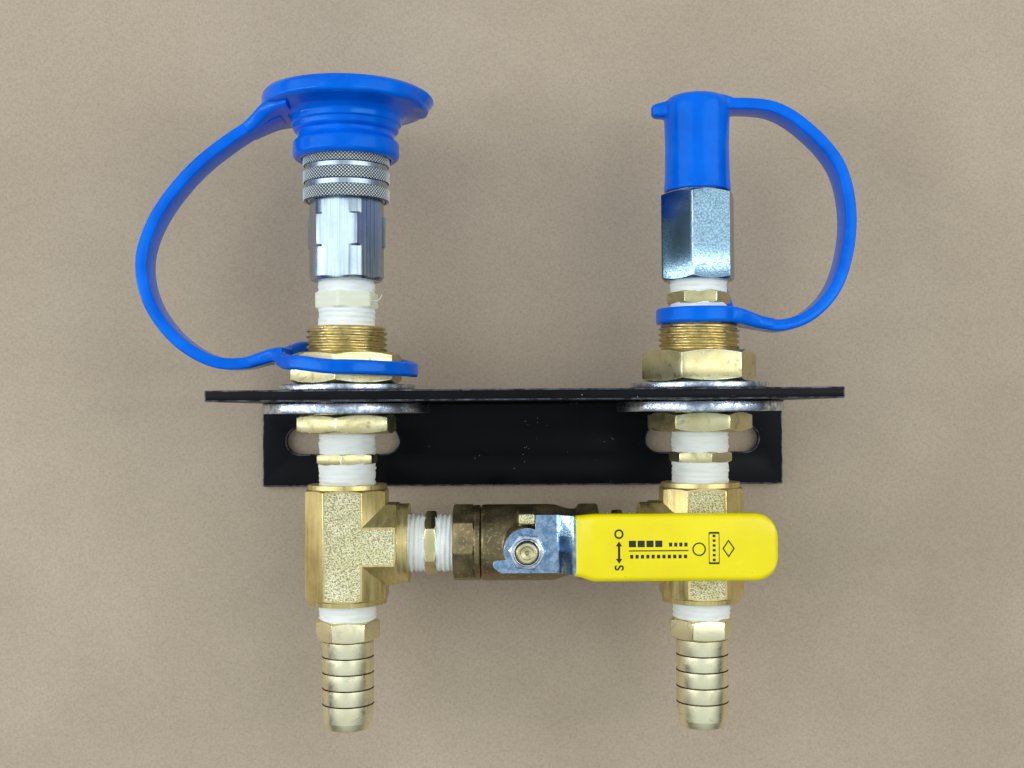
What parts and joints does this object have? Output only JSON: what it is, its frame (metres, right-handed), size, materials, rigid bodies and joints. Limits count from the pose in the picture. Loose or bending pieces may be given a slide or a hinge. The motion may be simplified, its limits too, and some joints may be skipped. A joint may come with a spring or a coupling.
{
  "type": "quick disconnect coupler manifold",
  "caption": "Bracket-mounted coupler and plug fluid manifold: capped quick disconnect halves on bulkhead fittings, tees and hose barbs, with a lever ball valve as bypass.",
  "frame": {"origin": "on the back leg's outer face, halfway along the bracket, level with the flange's underside", "axes": "+X along the bracket, +Y towards the coupler and plug, +Z away from the surface that the back leg rests on"},
  "size_m": [0.2759, 0.2443, 0.1016],
  "materials": {
    "black_coat": "satin black coating with fine specks and worn bright edges",
    "zinc_plate": "zinc plated steel with a cool blue tone",
    "machined_brass": "pale machined brass with light tarnish",
    "forged_brass": "forged brass with sandy unmachined faces",
    "cast_bronze": "dark brown cast bronze",
    "bright_steel": "bright machined and plated steel",
    "spring_steel": "drawn spring wire",
    "chrome_ball": "polished ball",
    "seat_polymer": "white fluoropolymer",
    "seal_rubber": "black seal rubber",
    "blue_rubber": "saturated blue flexible moulding",
    "yellow_vinyl": "glossy dipped yellow vinyl"
  },
  "bodies": {
    "root": {"bracket": "black_coat", "washer_upper_left": "zinc_plate", "washer_lower_left": "zinc_plate", "bulkhead_left": "machined_brass", "locknut_left": "machined_brass", "nipple_upper_left": "machined_brass", "nipple_lower_left": "machined_brass", "hose_barb_left": "machined_brass", "tee_left": "forged_brass", "nipple_valve_left": "machined_brass", "valve_seat_left": "seat_polymer", "washer_upper_right": "zinc_plate", "washer_lower_right": "zinc_plate", "bulkhead_right": "machined_brass", "locknut_right": "machined_brass", "nipple_upper_right": "machined_brass", "nipple_lower_right": "machined_brass", "hose_barb_right": "machined_brass", "tee_right": "forged_brass", "nipple_valve_right": "machined_brass", "valve_seat_right": "seat_polymer", "valve_body": "cast_bronze", "valve_insert": "cast_bronze", "valve_packing": "seat_polymer", "valve_gland": "machined_brass", "coupler_body": "bright_steel", "sleeve_spring": "spring_steel", "sleeve_snap_ring": "spring_steel", "coupler_packer_seal": "seal_rubber", "coupler_poppet_guide": "machined_brass", "coupler_poppet_spring": "spring_steel", "plug_body": "bright_steel", "plug_poppet_guide": "machined_brass", "plug_poppet_spring": "spring_steel", "coupler_cap_ring": "blue_rubber", "coupler_cap_strap": "blue_rubber", "plug_cap_ring": "blue_rubber", "plug_cap_strap": "blue_rubber", "locking_ball_1": "chrome_ball", "locking_ball_2": "chrome_ball", "locking_ball_3": "chrome_ball", "locking_ball_4": "chrome_ball", "locking_ball_5": "chrome_ball", "locking_ball_6": "chrome_ball"},
    "valve_handle": {"handle_plate": "zinc_plate", "handle_grip": "yellow_vinyl", "handle_nut": "zinc_plate", "valve_stem": "machined_brass", "valve_ball": "chrome_ball"},
    "sleeve": {"coupler_sleeve": "bright_steel"},
    "coupler_valve": {"coupler_poppet": "machined_brass", "coupler_poppet_seal": "seal_rubber"},
    "plug_valve": {"plug_poppet": "machined_brass", "plug_poppet_seal": "seal_rubber"},
    "coupler_dust_cap": {"coupler_cap": "blue_rubber"},
    "plug_dust_cap": {"plug_cap": "blue_rubber"}
  },
  "joints": [
    {"name": "valve_lever", "type": "hinge", "parent": "root", "child": "valve_handle", "pos_m": [0.0006, -0.0542, 0.0508], "axis": [0, 0, -1], "range_deg": [0, 90]},
    {"name": "sleeve_slide", "type": "slide", "parent": "root", "child": "sleeve", "axis": [0, -1, 0], "range_m": [0, 0.005], "stiffness_N_per_m": 1500, "springref_m": -0.003, "deforming": ["sleeve_spring"]},
    {"name": "coupler_poppet_slide", "type": "slide", "parent": "root", "child": "coupler_valve", "axis": [0, -1, 0], "range_m": [0, 0.005], "stiffness_N_per_m": 1200, "springref_m": -0.003, "deforming": ["coupler_poppet_spring"]},
    {"name": "plug_poppet_slide", "type": "slide", "parent": "root", "child": "plug_valve", "axis": [0, -1, 0], "range_m": [0, 0.005], "stiffness_N_per_m": 1200, "springref_m": -0.003, "deforming": ["plug_poppet_spring"]},
    {"name": "coupler_cap_pull", "type": "slide", "parent": "root", "child": "coupler_dust_cap", "axis": [0, 1, 0], "range_m": [0, 0.03], "deforming": ["coupler_cap_strap"]},
    {"name": "plug_cap_pull", "type": "slide", "parent": "root", "child": "plug_dust_cap", "axis": [0, 1, 0], "range_m": [0, 0.03], "deforming": ["plug_cap_strap"]}
  ]
}
